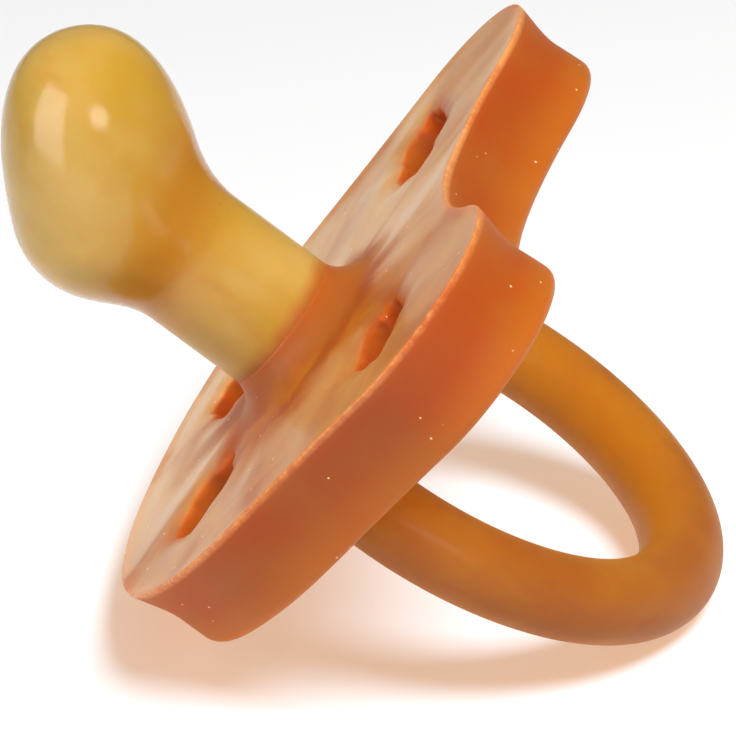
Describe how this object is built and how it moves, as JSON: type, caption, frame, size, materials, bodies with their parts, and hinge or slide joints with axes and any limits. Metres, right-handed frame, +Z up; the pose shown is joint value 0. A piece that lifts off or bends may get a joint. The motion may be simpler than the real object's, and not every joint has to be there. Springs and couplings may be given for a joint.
{
  "type": "pacifier",
  "caption": "Soft rubber pacifier with a hollow orthodontic teat, a vented butterfly shield and a flexing ring handle.",
  "frame": {"origin": "on the surface it lies on, under the middle of its bounding box", "axes": "+Z up, with the pacifier lying on its ring's far end and its shield's chin edge; +X along the shield's width, the ring's flexing axis; the teat points up towards -Y and the ring down towards +Y"},
  "size_m": [0.055, 0.0506, 0.0437],
  "materials": {
    "teat_rubber": "smooth satin, translucent amber",
    "shield_rubber": "matt, translucent orange with a milky bloom",
    "ring_rubber": "matt, translucent orange"
  },
  "bodies": {
    "shield": {"teat": "teat_rubber", "neck_collar": "shield_rubber", "shield_face": "shield_rubber", "shield_skirt": "shield_rubber", "back_boss": "shield_rubber", "ring_root_left": "ring_rubber", "ring_root_right": "ring_rubber"},
    "ring": {"ring_handle": "ring_rubber"}
  },
  "joints": [
    {"name": "ring_flex", "type": "hinge", "parent": "shield", "child": "ring", "pos_m": [0, 0.00036, 0.01614], "axis": [1, 0, 0], "range_deg": [-55, 40], "stiffness_Nm_per_rad": 0.02, "springref_deg": -1.6}
  ]
}
